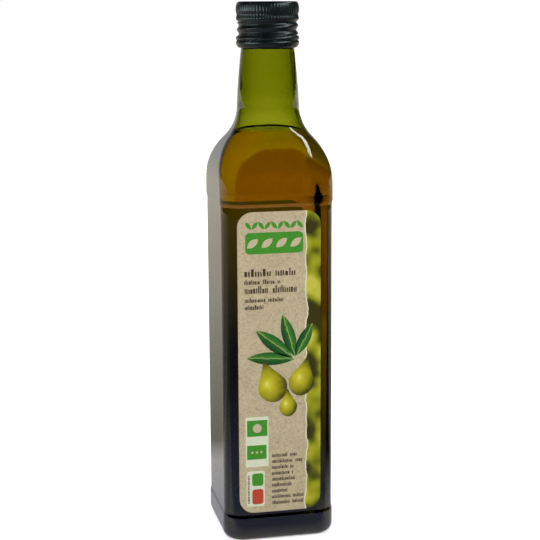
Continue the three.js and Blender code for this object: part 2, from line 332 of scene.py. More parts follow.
def shoulder_curve(inset, steps):
    """Convex shoulder and concave neck fillet, which share a tangent."""
    convex_x = BAND_HALF - SHOULDER_RADIUS
    concave_x = NECK_RADIUS + NECK_FILLET
    tangent = math.atan2(NECK_START - SHOULDER_START, concave_x - convex_x)
    convex = arc(convex_x, SHOULDER_START, SHOULDER_RADIUS - inset, 0, tangent, steps)
    concave = arc(concave_x, NECK_START, NECK_FILLET + inset, math.pi + tangent, math.pi, steps)
    return convex + concave[1:]


def neck_curve(inset, steps):
    """From the end of the neck fillet up to where the cap begins."""
    start = (NECK_RADIUS - inset, NECK_START)
    bend = (TAPER_RADIUS - inset, TAPER_START)
    end = (FINISH_RADIUS - inset, FINISH_START)
    points = []
    for k in range(1, steps):
        t = k / steps
        points.append(tuple(lerp(lerp(a, b, t), lerp(b, c, t), t) for a, b, c in zip(start, bend, end)))
    return points + [end]


def outline_point(half, corner, number):
    """Point on a rounded square, counted round from the middle of the +X side."""
    eighth = number // EIGHTH_STEPS % 8
    odd = eighth % 2
    t = number % EIGHTH_STEPS / EIGHTH_STEPS
    t = 1 - t if odd else t
    flat = half - corner
    length = corner * math.pi / 4
    step = t * EIGHTH_STEPS
    if step <= FLAT_STEPS:
        on_corner = flat * math.sin(step / FLAT_STEPS * math.pi / 2)
    else:
        on_corner = flat + length * (step - FLAT_STEPS) / ARC_STEPS
    s = lerp(on_corner, t * (flat + length), smoothstep(corner / half, 0.5, 1.0))
    turn = max(0.0, (s - flat) / corner)
    across = flat + corner * math.sin(turn) if s > flat else s
    out = flat + corner * math.cos(turn) if s > flat else half
    point = Vector((out, -across if odd else across))
    point.rotate(Matrix.Rotation(math.ceil(eighth / 2) * math.pi / 2, 2))
    return point


def spun(points, sides, layers):
    """Closed surface of revolution of a profile, whose vertices keep the profile's values."""
    bm = bmesh.new()
    stores = {name: bm.verts.layers.float.new(name) for name in layers}
    verts = []
    for k, (radius, z) in enumerate(points):
        vert = bm.verts.new((radius, 0, z))
        for name, values in layers.items():
            vert[stores[name]] = values[k]
        verts.append(vert)
    edges = [bm.edges.new(pair) for pair in zip(verts, verts[1:])]
    bmesh.ops.spin(bm, geom=verts + edges, axis=(0, 0, 1), cent=(0, 0, 0), angle=2 * math.pi,
                   steps=sides, use_merge=True, use_duplicate=False)
    bmesh.ops.remove_doubles(bm, verts=bm.verts, dist=1e-7)
    return bm


def angle_number(vert, sides):
    return round(math.atan2(vert.co.y, vert.co.x) / (2 * math.pi) * sides) % sides


def square_spun(sections, waviness):
    """Spins sections of half-width, corner radius and height, then sets them on rounded squares."""
    points = [(half, z) for half, _, z in sections]
    bm = spun(points, OUTLINE_SIDES, {"corner": [corner for _, corner, _ in sections], "wave": waviness})
    corner_of = bm.verts.layers.float["corner"]
    wave_of = bm.verts.layers.float["wave"]
    for vert in bm.verts:
        half = math.hypot(vert.co.x, vert.co.y)
        if half > 1e-6:
            point = outline_point(half, vert[corner_of], angle_number(vert, OUTLINE_SIDES))
            point *= 1 + vert[wave_of] * ripple(point, vert.co.z) / half
            vert.co.x, vert.co.y = point
    return bm


def ripple(point, z):
    """Slow unevenness of blown glass, from -1 to 1, stretched along the bottle."""
    return noise.noise(Vector((point.x / WAVE_WIDTH, point.y / WAVE_WIDTH, z / WAVE_LENGTH)))


def piece_from(bm, name, material, smooth=True):
    bmesh.ops.recalc_face_normals(bm, faces=bm.faces)
    for face in bm.faces:
        face.smooth = smooth
    mesh = bpy.data.meshes.new(name)
    bm.to_mesh(mesh)
    bm.free()
    piece = bpy.data.objects.new(name, mesh)
    bpy.context.scene.collection.objects.link(piece)
    mesh.materials.append(material)
    return piece


def new_material(name, inputs):
    """Material whose shader starts from the given inputs."""
    material = bpy.data.materials.new(name)
    material.use_nodes = True
    tree = material.node_tree
    shader = tree.nodes["Principled BSDF"]
    for key, value in inputs.items():
        shader.inputs[key].default_value = value
    return material, tree, shader


def node(tree, kind, inputs=None, **settings):
    made = tree.nodes.new(kind)
    for key, value in settings.items():
        setattr(made, key, value)
    for key, value in (inputs or {}).items():
        made.inputs[key].default_value = value
    return made


def object_coordinates(tree, scale=(1, 1, 1)):
    coordinates = node(tree, "ShaderNodeTexCoord")
    mapping = node(tree, "ShaderNodeMapping", {"Scale": scale})
    tree.links.new(coordinates.outputs["Object"], mapping.inputs["Vector"])
    return mapping.outputs["Vector"]


def noise_texture(tree, vector, scale, detail=2.0, roughness=0.5):
    texture = node(tree, "ShaderNodeTexNoise", {"Scale": scale, "Detail": detail, "Roughness": roughness})
    tree.links.new(vector, texture.inputs["Vector"])
    return texture.outputs["Fac"]


def ramp(tree, factor, stops):
    made = node(tree, "ShaderNodeValToRGB")
    elements = made.color_ramp.elements
    while len(elements) < len(stops):
        elements.new(1.0)
    for element, (place, colour) in zip(elements, stops):
        element.position = place
        element.color = (*colour, 1)
    tree.links.new(factor, made.inputs["Fac"])
    return made.outputs["Color"]


def map_range(tree, value, from_low, from_high, to_low, to_high):
    made = node(tree, "ShaderNodeMapRange", {
        "From Min": from_low, "From Max": from_high, "To Min": to_low, "To Max": to_high})
    tree.links.new(value, made.inputs["Value"])
    return made.outputs["Result"]


def spread(tree, texture, reach):
    """Noise stretched to run from about -reach to reach."""
    return map_range(tree, texture, 0.3, 0.7, -reach, reach)


def either(tree, choice, when_off, when_on):
    """The first value where the choice is 0, the second where it is 1."""
    made = node(tree, "ShaderNodeMix")
    for number, value in ((0, choice), (2, when_off), (3, when_on)):
        tree.links.new(value, made.inputs[number])
    return made.outputs[0]


def bump(tree, height, shader, strength, distance):
    made = node(tree, "ShaderNodeBump", {"Strength": strength, "Distance": distance})
    tree.links.new(height, made.inputs["Height"])
    tree.links.new(made.outputs["Normal"], shader.inputs["Normal"])


def srgb(red, green, blue):
    """Linear colour of a display colour given from 0 to 255."""
    def linear(value):
        share = value / 255
        return share / 12.92 if share <= 0.04045 else ((share + 0.055) / 1.055) ** 2.4
    return linear(red), linear(green), linear(blue)


def shades(stops):
    """Ramp stops in linear colour from stops in display values."""
    return [(place, srgb(*colour)) for place, colour in stops]


def mixed(tree, factor, first, second):
    made = node(tree, "ShaderNodeMix", data_type="RGBA")
    for socket, value in ((made.inputs[0], factor), (made.inputs[6], first), (made.inputs[7], second)):
        if isinstance(value, tuple):
            socket.default_value = (*value, 1)
        else:
            tree.links.new(value, socket)
    return made.outputs[2]


def math_node(tree, operation, first, second=0.0):
    made = node(tree, "ShaderNodeMath", operation=operation)
    for socket, value in zip(made.inputs, (first, second)):
        if isinstance(value, (int, float)):
            socket.default_value = value
        else:
            tree.links.new(value, socket)
    return made.outputs["Value"]


def product(tree, first, *others):
    for other in others:
        first = math_node(tree, "MULTIPLY", first, other)
    return first


def split_xyz(tree, vector):
    made = node(tree, "ShaderNodeSeparateXYZ")
    tree.links.new(vector, made.inputs["Vector"])
    return made.outputs


def clear_material(name, ior, tint, density):
    """Clear glass or liquid, whose colour comes from its depth."""
    material, tree, _ = new_material(name, {
        "Base Color": (1, 1, 1, 1), "Transmission Weight": 1.0, "IOR": ior, "Roughness": 0.0})
    volume = node(tree, "ShaderNodeVolumeAbsorption", {"Color": (*tint, 1), "Density": density})
    tree.links.new(volume.outputs["Volume"], tree.nodes["Material Output"].inputs["Volume"])
    return material


def cap_material():
    """Black lacquer on aluminium, with a faint unevenness."""
    material, tree, shader = new_material("black_lacquer", {"Specular IOR Level": 0.5})
    vector = object_coordinates(tree)
    cloud = noise_texture(tree, vector, 300, 4)
    tree.links.new(ramp(tree, cloud, shades(LACQUER)), shader.inputs["Base Color"])
    tree.links.new(map_range(tree, cloud, 0.3, 0.7, 0.26, 0.36), shader.inputs["Roughness"])
    bump(tree, noise_texture(tree, vector, 2500, 2), shader, 0.1, 0.05 * MM)
    return material


def paper_colour(tree, vector):
    """Uncoated paper with clouds, speckles and fibres; the vector counts millimetres."""
    cloud = noise_texture(tree, vector, 0.07, 3)
    speckle = noise_texture(tree, vector, 1.1, 3, 0.6)
    colour = ramp(tree, cloud, [(0.3, PAPER_DARK), (0.7, PAPER_LIGHT)])
    colour = mixed(tree, map_range(tree, speckle, 0.4, 0.7, 0.0, 0.42), colour, srgb(*SPECKLE))
    streaks = node(tree, "ShaderNodeMapping", {"Scale": (0.9, 0.9, 2.6), "Rotation": (0, 0.6, 0)})
    tree.links.new(vector, streaks.inputs["Vector"])
    fibre = noise_texture(tree, streaks.outputs["Vector"], 0.42, 4, 0.55)
    colour = mixed(tree, map_range(tree, fibre, 0.62, 0.68, 0.0, 0.55), colour, srgb(*FIBRE))
    return colour, speckle


def torn_strip(tree, vector, colour):
    """Paper that ends on a torn edge, beyond which blurred leaves and fruit show."""
    across = split_xyz(tree, vector)["X"]
    upright = node(tree, "ShaderNodeMapping", {"Scale": (0, 0, 1)})
    tree.links.new(vector, upright.inputs["Vector"])
    slow = spread(tree, noise_texture(tree, upright.outputs["Vector"], 0.07, 1), 1.1)
    quick = spread(tree, noise_texture(tree, upright.outputs["Vector"], 0.7, 4), 0.4)
    past = math_node(tree, "SUBTRACT", math_node(tree, "SUBTRACT", across, slow), quick)
    fringe = map_range(tree, past, TORN_EDGE - 0.75, TORN_EDGE - 0.35, 0.0, 0.9)
    strip = map_range(tree, past, TORN_EDGE - 0.08, TORN_EDGE + 0.08, 0.0, 1.0)
    blur = noise_texture(tree, vector, 0.085, 1.2, 0.45)
    colour = mixed(tree, fringe, colour, srgb(*TORN_FRINGE))
    return mixed(tree, strip, colour, ramp(tree, blur, shades(FOLIAGE)))


def paper_material(name, torn):
    """Label paper; a torn one has a strip of foliage at its right side."""
    material, tree, shader = new_material(name, {"Roughness": 0.78, "Specular IOR Level": 0.25})
    vector = object_coordinates(tree, PER_MM)
    colour, speckle = paper_colour(tree, vector)
    if torn:
        colour = torn_strip(tree, vector, colour)
    tree.links.new(colour, shader.inputs["Base Color"])
    bump(tree, speckle, shader, 0.2, 0.05 * MM)
    return material


def reverse_with_painted_glow():
    """Unprinted side of the back label, with a painted glow, stronger higher up, that stands in for the
    light that soaks through the paper.
    """
    material, tree, shader = new_material("paper_reverse_painted_glow", {
        "Roughness": 0.85, "Emission Color": (1.0, 0.85, 0.7, 1)})
    vector = object_coordinates(tree, PER_MM)
    colour, _ = paper_colour(tree, vector)
    tree.links.new(colour, shader.inputs["Base Color"])
    height = split_xyz(tree, vector)["Z"]
    # Painted glow: emission that grows with height and stands in for light through the paper
    tree.links.new(map_range(tree, height, 90, 175, 0.0, 0.27), shader.inputs["Emission Strength"])
    return material


def ink_material(name, stops):
    """Printed ink that lets a little of the paper's speckle through."""
    material, tree, shader = new_material(name, PRINT_SURFACE)
    vector = object_coordinates(tree, PER_MM)
    speckle = noise_texture(tree, vector, 1.3, 3, 0.6)
    tree.links.new(ramp(tree, speckle, stops), shader.inputs["Base Color"])
    return material


def shape_coordinates(tree):
    """Place inside one printed shape, from -1 to 1 each way, kept in the piece's UV map."""
    coordinates = node(tree, "ShaderNodeUVMap", uv_map="shape")
    return split_xyz(tree, coordinates.outputs["UV"])


def drop_material():
    """Golden oil drops, lit from the upper left and darker towards the lower right rim."""
    material, tree, shader = new_material("printed_drops", PRINT_SURFACE)
    place = shape_coordinates(tree)
    off_x = math_node(tree, "ADD", place["X"], 0.25)
    off_z = math_node(tree, "SUBTRACT", place["Y"], 0.1)
    square = math_node(tree, "ADD", product(tree, off_x, off_x), product(tree, off_z, off_z))
    depth = math_node(tree, "SQRT", square)
    stain = noise_texture(tree, object_coordinates(tree, PER_MM), 0.3, 3)
    depth = math_node(tree, "ADD", depth, spread(tree, stain, 0.08))
    colour = ramp(tree, product(tree, depth, 0.8), shades(DROP_SHADES))
    tree.links.new(colour, shader.inputs["Base Color"])
    return material


def leaf_material():
    """Leaves with a pale rib, one half lighter than the other."""
    material, tree, shader = new_material("printed_leaves", PRINT_SURFACE)
    place = shape_coordinates(tree)
    vein = noise_texture(tree, object_coordinates(tree, PER_MM), 0.35, 3)
    across = math_node(tree, "ADD", place["Y"], spread(tree, vein, 0.12))
    colour = ramp(tree, map_range(tree, across, -1, 1, 0, 1), shades(LEAF_SHADES))
    tree.links.new(colour, shader.inputs["Base Color"])
    return material


def bottle_glass():
    """Hollow glass from the pushed-up base over the lip and back down the inside."""
    heel_centre = BAND_HALF - HEEL_RADIUS
    push_up = []
    for k in range(PUSH_UP_RINGS + 1):
        share = k / PUSH_UP_RINGS
        half = BEARING_INNER_HALF * share
        roundness = lerp(1.0, 0.45, share ** 2)
        push_up.append((half, half * roundness, PUSH_UP * (1 - smoothstep(share, 0.35, 1.0))))
    band_low = (BAND_HALF, PANEL_BOTTOM - STEP_HEIGHT)
    panel_low = (PANEL_HALF, PANEL_BOTTOM)
    panel_high = (PANEL_HALF, PANEL_TOP)
    band_high = (BAND_HALF, PANEL_TOP + STEP_HEIGHT)
    outside = [
        *arc(heel_centre, HEEL_RADIUS, HEEL_RADIUS, -math.pi / 2, 0, 12),
        *straight((BAND_HALF, HEEL_RADIUS), band_low, 4), band_low,
        *s_curve(band_low, panel_low, 8), panel_low,
        *straight(panel_low, panel_high, 30), panel_high,
        *s_curve(panel_high, band_high, 8), band_high,
        *straight(band_high, (BAND_HALF, SHOULDER_START), 4),
        *shoulder_curve(0, 24),
        *neck_curve(0, 16),
        (FINISH_RADIUS, MOUTH_TOP - 4 * LIP_ROUND),
        *arc(FINISH_RADIUS - LIP_ROUND, MOUTH_TOP - LIP_ROUND, LIP_ROUND, 0, math.pi / 2, 4),
    ]
    inside = inner_points(WALL, NECK_WALL)
    bore_low = (FINISH_RADIUS - NECK_WALL, BORE_STEP - BORE_STEP_HEIGHT)
    bore_high = (BORE_RADIUS, BORE_STEP)
    bore = [
        bore_low, *s_curve(bore_low, bore_high, 6), bore_high,
        (BORE_RADIUS, MOUTH_TOP - 4 * LIP_ROUND),
        *arc(BORE_RADIUS + LIP_ROUND, MOUTH_TOP - LIP_ROUND, LIP_ROUND, math.pi, math.pi / 2, 4),
    ]
    floor_and_wall = [(0, 0, FLOOR_CENTRE), *wall_sections(inside, WALL)]
    bore_sections = [(half, half, z) for half, z in bore]
    outer = push_up + wall_sections(outside, 0)
    inner = (floor_and_wall + bore_sections)[::-1]
    waviness = [OUTSIDE_WAVE if PANEL_BOTTOM < z < PANEL_TOP else 0.0 for _, _, z in outer]
    waviness += [INSIDE_WAVE] * len(inner)
    return square_spun(outer + inner, waviness)


def inner_points(inset, neck_inset):
    """Profile of the inside, from the edge of the floor up to the bore."""
    half = BAND_HALF - inset
    floor_arc = arc(half - FLOOR_RADIUS, FLOOR_EDGE + FLOOR_RADIUS, FLOOR_RADIUS, -math.pi / 2, 0, 10)
    neck = [(r - neck_inset, z) for r, z in neck_curve(0, 16) if z < FINISH_START - 0.5 * MM]
    points = [
        *floor_arc,
        *straight(floor_arc[-1], (half, SHOULDER_START), 32),
        *shoulder_curve(inset, 20),
        *neck,
    ]
    return [(r + wall_thinning(z), z) for r, z in points]


def wall_thinning(z):
    """Blown glass is thinnest round the shoulder."""
    body = BODY_THINNING * smoothstep(z, *BODY_THINNING_START)
    thinning = lerp(body, SHOULDER_THINNING, smoothstep(z, *SHOULDER_THINNING_START))
    return thinning * (1 - smoothstep(z, *SHOULDER_THINNING_END))


def oil_body():
    """The oil reaches a little into the wall, and its surface climbs the glass in a meniscus."""
    inset = WALL - OIL_BITE
    top = OIL_LEVEL + MENISCUS_RISE
    wall = inner_points(inset, NECK_WALL - OIL_BITE)
    below = [(half, z) for half, z in wall if z < top - 0.4 * MM]
    above = next((half, z) for half, z in wall if z > top)
    share = (top - below[-1][1]) / (above[1] - below[-1][1])
    rim = (lerp(below[-1][0], above[0], share), top)
    sections = [(0, 0, FLOOR_CENTRE - OIL_BITE), *wall_sections(below + [rim], inset)]
    surface = []
    for k in range(1, MENISCUS_STEPS + 1):
        inward = MENISCUS_WIDTH * 2 * k / MENISCUS_STEPS
        rise = MENISCUS_RISE * math.exp(-2.2 * inward / MENISCUS_WIDTH)
        surface.append((rim[0] - inward, OIL_LEVEL + rise))
    flat = [(rim[0] * share_in, OIL_LEVEL) for share_in in (0.6, 0.35, 0.15)]
    sections += wall_sections(surface + flat, inset) + [(0, 0, OIL_LEVEL)]
    return square_spun(sections, [INSIDE_WAVE] * len(sections))


def in_millimetres(points):
    """Points of a profile that is given in millimetres."""
    return [(radius * MM, z * MM) for radius, z in points]


def cap_profile():
    """Outside of the cap from the top's middle down to the tucked edge, then up inside."""
    thread_high = THREAD_TOP - THREAD_EASE
    thread_low = THREAD_BOTTOM + THREAD_EASE
    outside = [
        *[(radius * MM, CAP_TOP - depth * MM) for radius, depth in CAP_TOP_EDGE],
        *in_millimetres(CAP_DRUM), (14.55 * MM, THREAD_TOP),
        *[(THREAD_ROOT, lerp(thread_high, thread_low, k / THREAD_RINGS)) for k in range(THREAD_RINGS + 1)],
        (14.6 * MM, THREAD_BOTTOM), *in_millimetres(CAP_BEAD),
        *[(radius * MM, SLIT_Z + share * SLIT_HEIGHT) for radius, share in SLIT_GROOVE],
        *in_millimetres(CAP_BAND), (13.95 * MM, CAP_BOTTOM), (CAP_BORE, CAP_BOTTOM),
    ]
    inside = [
        (CAP_BORE, 249.2 * MM), (CAP_BORE, CAP_TOP - 1.5 * MM), (CAP_BORE - 1 * MM, CAP_TOP - 0.8 * MM),
        (0, CAP_TOP - 0.8 * MM),
    ]
    return outside, inside


def thread_relief(angle, z):
    """One rolled ridge that climbs to the right across the front."""
    crest = THREAD_LEFT_CREST + THREAD_PITCH * (angle - math.pi) / (2 * math.pi)
    turns = (z - crest) / THREAD_PITCH
    off_crest = abs(turns - round(turns))
    fade = smoothstep(z, THREAD_BOTTOM - 0.1 * MM, THREAD_BOTTOM + 0.5 * MM)
    fade *= 1 - smoothstep(z, THREAD_TOP - 0.5 * MM, THREAD_TOP + 0.1 * MM)
    return THREAD_RISE * fade * math.cos(math.pi * min(1.0, 2 * off_crest) / 2) ** 2


def knurl_relief(angle, z):
    """Flutes round the drum, which fade out at its edges."""
    fade = smoothstep(z, KNURL_BOTTOM, KNURL_BOTTOM + 0.8 * MM)
    fade *= 1 - smoothstep(z, KNURL_TOP - 0.7 * MM, KNURL_TOP + 0.1 * MM)
    flute = (0.5 - 0.5 * math.cos(KNURL_COUNT * angle)) ** 2
    return -KNURL_DEPTH * fade * flute


def slit_relief(angle, z):
    """The tear line, cut into slits with a bridge between each two."""
    span = 2 * math.pi / SLIT_COUNT
    from_bridge = abs((angle + span / 2) % span - span / 2)
    open_here = smoothstep(from_bridge, 0.4 * BRIDGE_ANGLE, 0.6 * BRIDGE_ANGLE)
    near = 1 - smoothstep(abs(z - SLIT_Z), 0.25 * SLIT_HEIGHT, 0.55 * SLIT_HEIGHT)
    return -SLIT_DEPTH * open_here * near


def screw_cap():
    outside, inside = cap_profile()
    shown = [1.0] * len(outside) + [0.0] * len(inside)
    bm = spun(outside + inside, CAP_SIDES, {"outside": shown})
    outside_of = bm.verts.layers.float["outside"]
    for vert in bm.verts:
        radius = math.hypot(vert.co.x, vert.co.y)
        if vert[outside_of] > 0.5 and radius > CAP_BORE + 0.1 * MM:
            angle = angle_number(vert, CAP_SIDES) * 2 * math.pi / CAP_SIDES
            z = vert.co.z
            relief = thread_relief(angle, z) + knurl_relief(angle, z) + slit_relief(angle, z)
            vert.co.xy *= 1 + relief / radius
    return bm


def panel_front(x, gap):
    """How far out the front panel lies at x, with a gap over it."""
    corner = CORNER - PANEL_RECESS + gap
    flat = PANEL_HALF + gap - corner
    past = min(corner, max(0.0, abs(x) - flat))
    return flat + math.sqrt(corner * corner - past * past)


def drape(bm, gap, back=False):
    """Lays a flat form, whose y counts outwards from the panel, on the front or the back panel."""
    for vert in bm.verts:
        vert.co.y = -panel_front(vert.co.x, gap - vert.co.y)
    if back:
        bmesh.ops.rotate(bm, verts=bm.verts, cent=(0, 0, 0), matrix=Matrix.Rotation(math.pi, 3, "Z"))


def label_sheet(left, right, back=False):
    """Paper with round corners, bent round the panel's edges and bedded on the glass."""
    bm = bmesh.new()
    bmesh.ops.create_grid(bm, x_segments=1, y_segments=1, size=1)
    middle = ((left + right) / 2, 0, (LABEL_LOW.z + LABEL_HIGH.z) / 2)
    size = Matrix.Diagonal(((right - left) / 2, 1, (LABEL_HIGH.z - LABEL_LOW.z) / 2, 1))
    upright = Matrix.Rotation(math.pi / 2, 4, "X")
    bmesh.ops.transform(bm, verts=bm.verts, matrix=Matrix.Translation(middle) @ size @ upright)
    bmesh.ops.bevel(bm, geom=bm.verts[:], offset=LABEL_CORNER, offset_type="OFFSET", segments=14,
                    profile=0.5, affect="VERTICES", material=-1)
    columns = 44
    for k in range(1, columns):
        bmesh.ops.bisect_plane(bm, geom=bm.verts[:] + bm.edges[:] + bm.faces[:], dist=1e-7,
                               plane_co=(lerp(left, right, k / columns), 0, 0), plane_no=(1, 0, 0))
    below = bmesh.ops.extrude_face_region(bm, geom=bm.faces[:], use_keep_orig=True)
    low = [part for part in below["geom"] if isinstance(part, bmesh.types.BMVert)]
    bmesh.ops.translate(bm, verts=low, vec=(0, LABEL_RISE + LABEL_SINK, 0))
    drape(bm, LABEL_RISE, back)
    return bm


def stamp(bm, made, matrix, shape_map=None):
    """Sets new printed vertices, made between -1 and 1 in x and z, on the label."""
    if shape_map is not None:
        for vert in made:
            for loop in vert.link_loops:
                loop[shape_map].uv = (vert.co.x, vert.co.z)
    bmesh.ops.transform(bm, verts=made, matrix=matrix)


def placed(x, z, half_width, half_height, turn=0.0):
    """Matrix that brings a form of half size 1 to its place in millimetres on the label."""
    size = Matrix.Diagonal((half_width * MM, 1, half_height * MM, 1))
    return Matrix.Translation((x * MM, 0, z * MM)) @ Matrix.Rotation(-turn, 4, "Y") @ size


def ink_depth():
    """Scale of a printed form across the paper: its lower side sinks in, its upper side stands out."""
    middle = Matrix.Translation((0, (PRINT_SINK - PRINT_LIFT) / 2, 0))
    return middle @ Matrix.Diagonal((1, PRINT_LIFT + PRINT_SINK, 1, 1))


def bar(bm, x, z, half_width, half_height, round_off=0.0):
    made = bmesh.ops.create_cube(bm, size=1, matrix=ink_depth())["verts"]
    bmesh.ops.scale(bm, verts=made, vec=(2, 1, 2))
    bmesh.ops.transform(bm, verts=made, matrix=placed(x, z, half_width, half_height))
    if round_off:
        across = [e for e in {e for v in made for e in v.link_edges}
                  if abs((e.verts[0].co - e.verts[1].co).y) > PRINT_LIFT / 2]
        bmesh.ops.bevel(bm, geom=across, offset=round_off * MM, offset_type="OFFSET", segments=5,
                        profile=0.5, affect="EDGES", material=-1)


def fields(bm, rows):
    """Adds plain fields of colour, each a bar of place, half sizes and corner radius."""
    for row in rows:
        bar(bm, *row)
    return bm


def round_form(bm, sides):
    """Disc of radius 1 that stands upright and is as deep as the ink."""
    upright = ink_depth() @ Matrix.Rotation(math.pi / 2, 4, "X")
    return bmesh.ops.create_cone(bm, cap_ends=True, cap_tris=True, segments=sides, radius1=1, radius2=1,
                                 depth=1, matrix=upright)["verts"]


def disc(bm, x, z, half_width, half_height, turn=0.0, pinch=0.0, shape_map=None, sides=40):
    """Printed oval; a pinch above 0 draws its upper end to a point, as on a drop."""
    made = round_form(bm, sides)
    for vert in made:
        rise = smoothstep(vert.co.z, -0.2, 1.0)
        vert.co.x *= 1 - pinch * rise
        vert.co.z += 0.5 * pinch * rise
    stamp(bm, made, placed(x, z, half_width, half_height, turn), shape_map)


def leaf(bm, x, z, half_length, half_width, turn=0.0, shape_map=None, sides=28):
    """Printed pointed leaf that lies along its own x."""
    made = round_form(bm, sides)
    for vert in made:
        along = vert.co.x
        side = math.copysign(1, vert.co.z) if abs(vert.co.z) > 1e-6 else 0
        if abs(abs(along) - 1) > 1e-6 and side:
            vert.co.z = side * (1 - along * along)
    stamp(bm, made, placed(x, z, half_length, half_width, turn), shape_map)


def mark_row(bm, left, right, base, height, stroke, rng):
    """Row of plain upright strokes in word-like groups, which stands for small print."""
    x = left
    while x < right - 2 * stroke:
        group = min(right, x + rng.uniform(2.2, 5.5) * height)
        while x < group - stroke:
            width = stroke * rng.choice((0.8, 1.0, 1.0, 1.7))
            tall = height * rng.choice((0.68, 0.68, 0.72, 0.72, 0.6, 1.0))
            bar(bm, x + width / 2, base + tall / 2, width / 2, tall / 2)
            x += width + stroke * rng.uniform(0.55, 0.85)
        x += 0.55 * height


def printed(bm, name, material, level=0, back=False):
    """Makes a piece of printed forms; those of a higher level lie over the lower ones."""
    drape(bm, LABEL_RISE + level * PRINT_LIFT, back)
    piece = piece_from(bm, name, material, smooth=False)
    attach(piece, "root")


def front_ink():
    """Small print of the front label in dark brown."""
    rng = random.Random(11)
    bm = bmesh.new()
    for left, right, base, height, stroke in FRONT_ROWS:
        mark_row(bm, left, right, base, height, stroke, rng)
    for k, right in enumerate(SMALL_ROW_ENDS):
        base = 44.6 - SMALL_ROW_STEP * k
        mark_row(bm, SMALL_ROW_LEFT, right, base, 2.2, 0.4 if k < 5 else 0.28, rng)
    z = 21.0
    while z < 35.5:
        bar(bm, -17.2, z, 0.55, rng.uniform(0.16, 0.3))
        z += rng.uniform(0.75, 1.05)
    return bm


def front_green():
    """Row of small leaves over a solid band, and two plain panels."""
    bm = bmesh.new()
    left, right, z = LEAF_ROW
    for k in range(LEAF_ROW_COUNT):
        x = lerp(left, right, k / (LEAF_ROW_COUNT - 1))
        turn = math.radians(LEAF_ROW_TILT if k % 2 else -LEAF_ROW_TILT)
        leaf(bm, x, z, 2.35, 0.95, turn, sides=16)
    return fields(bm, FRONT_GREEN_FIELDS)


def front_pale():
    """Paper-coloured forms left open in the green band and panels."""
    bm = bmesh.new()
    left, right, z = OPENING_ROW
    for k in range(OPENING_COUNT):
        x = lerp(left, right, k / (OPENING_COUNT - 1))
        leaf(bm, x, z, 3.6, 1.75, math.radians(OPENING_TILT), sides=20)
    disc(bm, -12.6, 60.4, 2.3, 2.3)
    for k in range(3):
        disc(bm, -15.2 + 2.35 * k, 47.8, 0.62, 0.62, sides=16)
    return bm


def front_leaves():
    """Four leaves, with their places in the UV map."""
    bm = bmesh.new()
    shape_map = bm.loops.layers.uv.new("shape")
    for x, z, half_length, half_width, angle in LEAVES:
        leaf(bm, x, z, half_length, half_width, math.radians(angle), shape_map)
    return bm


def front_drops():
    """Three drops, with their places in the UV map."""
    bm = bmesh.new()
    shape_map = bm.loops.layers.uv.new("shape")
    for x, z, half_width, half_height, angle in DROPS:
        disc(bm, x, z, half_width, half_height, math.radians(angle), 0.8, shape_map)
    return bm


def back_ink():
    """Columns of small print and a block of plain stripes."""
    rng = random.Random(23)
    bm = bmesh.new()
    for k in range(14):
        right = 8.5 if k % 5 == 4 else 17.5
        mark_row(bm, -17.5, right, 132.0 - BACK_ROW_STEP * k, 1.9, 0.3, rng)
    for k in range(9):
        base = 74.0 - BACK_ROW_STEP * k
        mark_row(bm, -17.5, -2.0, base, 1.9, 0.3, rng)
        mark_row(bm, 2.0, 17.5, base, 1.9, 0.3, rng)
    x = -13.0
    while x < 13.0:
        width = rng.choice((0.3, 0.3, 0.6, 0.9))
        bar(bm, x + width / 2, 28.0, width / 2, 6.5)
        x += width + rng.choice((0.35, 0.35, 0.7))
    return bm


def add_labels():
    front_sheet = label_sheet(LABEL_LOW.x, LABEL_HIGH.x)
    front = piece_from(front_sheet, "front_label_sheet", paper_material("torn_paper", torn=True))
    back_sheet = label_sheet(-BACK_LABEL_HALF, BACK_LABEL_HALF, back=True)
    back = piece_from(back_sheet, "back_label_sheet", paper_material("plain_paper", torn=False))
    back.data.materials.append(reverse_with_painted_glow())
    for sheet, cad_node in ((front, "front_label"), (back, "back_label")):
        for face in sheet.data.polygons:
            face.use_smooth = False
            face.material_index = 1 if sheet is back and face.normal.y < -0.5 else 0
        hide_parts(cad_node)
        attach(sheet, "root")
    dark = ink_material("dark_ink", shades(DARK_INK))
    green = ink_material("green_ink", shades(GREEN_INK))
    white = ink_material("white_ink", shades(WHITE_INK))
    russet = ink_material("russet_ink", shades(RUSSET_INK))
    pale = ink_material("paper_left_open", [(0.3, PAPER_DARK), (0.75, PAPER_LIGHT)])
    printed(fields(bmesh.new(), FRONT_FRAMES), "front_print_frames", white)
    printed(front_green(), "front_print_green", green, level=1)
    printed(front_pale(), "front_print_openings", pale, level=2)
    printed(fields(bmesh.new(), FRONT_RUSSET_FIELDS), "front_print_russet", russet, level=1)
    printed(front_leaves(), "front_print_leaves", leaf_material())
    printed(front_drops(), "front_print_drops", drop_material(), level=1)
    printed(front_ink(), "front_print_ink", dark, level=1)
    printed(fields(bmesh.new(), BACK_FRAMES), "back_print_frame", white, back=True)
    printed(fields(bmesh.new(), BACK_GREEN_FIELDS), "back_print_green", green, back=True)
    printed(back_ink(), "back_print_ink", dark, level=1, back=True)


def add_glass_pieces():
    green_glass = clear_material("green_glass", GLASS_IOR, GLASS_TINT, GLASS_DENSITY)
    glass = piece_from(bottle_glass(), "bottle_glass", green_glass)
    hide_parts("glass_bottle")
    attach(glass, "root")
    olive_oil = clear_material("olive_oil", OIL_IOR, OIL_TINT, OIL_DENSITY)
    oil = piece_from(oil_body(), "oil_body", olive_oil)
    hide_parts("oil")
    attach(oil, "root")


def add_cap():
    cap = piece_from(screw_cap(), "aluminium_cap", cap_material())
    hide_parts("screw_cap")
    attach(cap, "root")


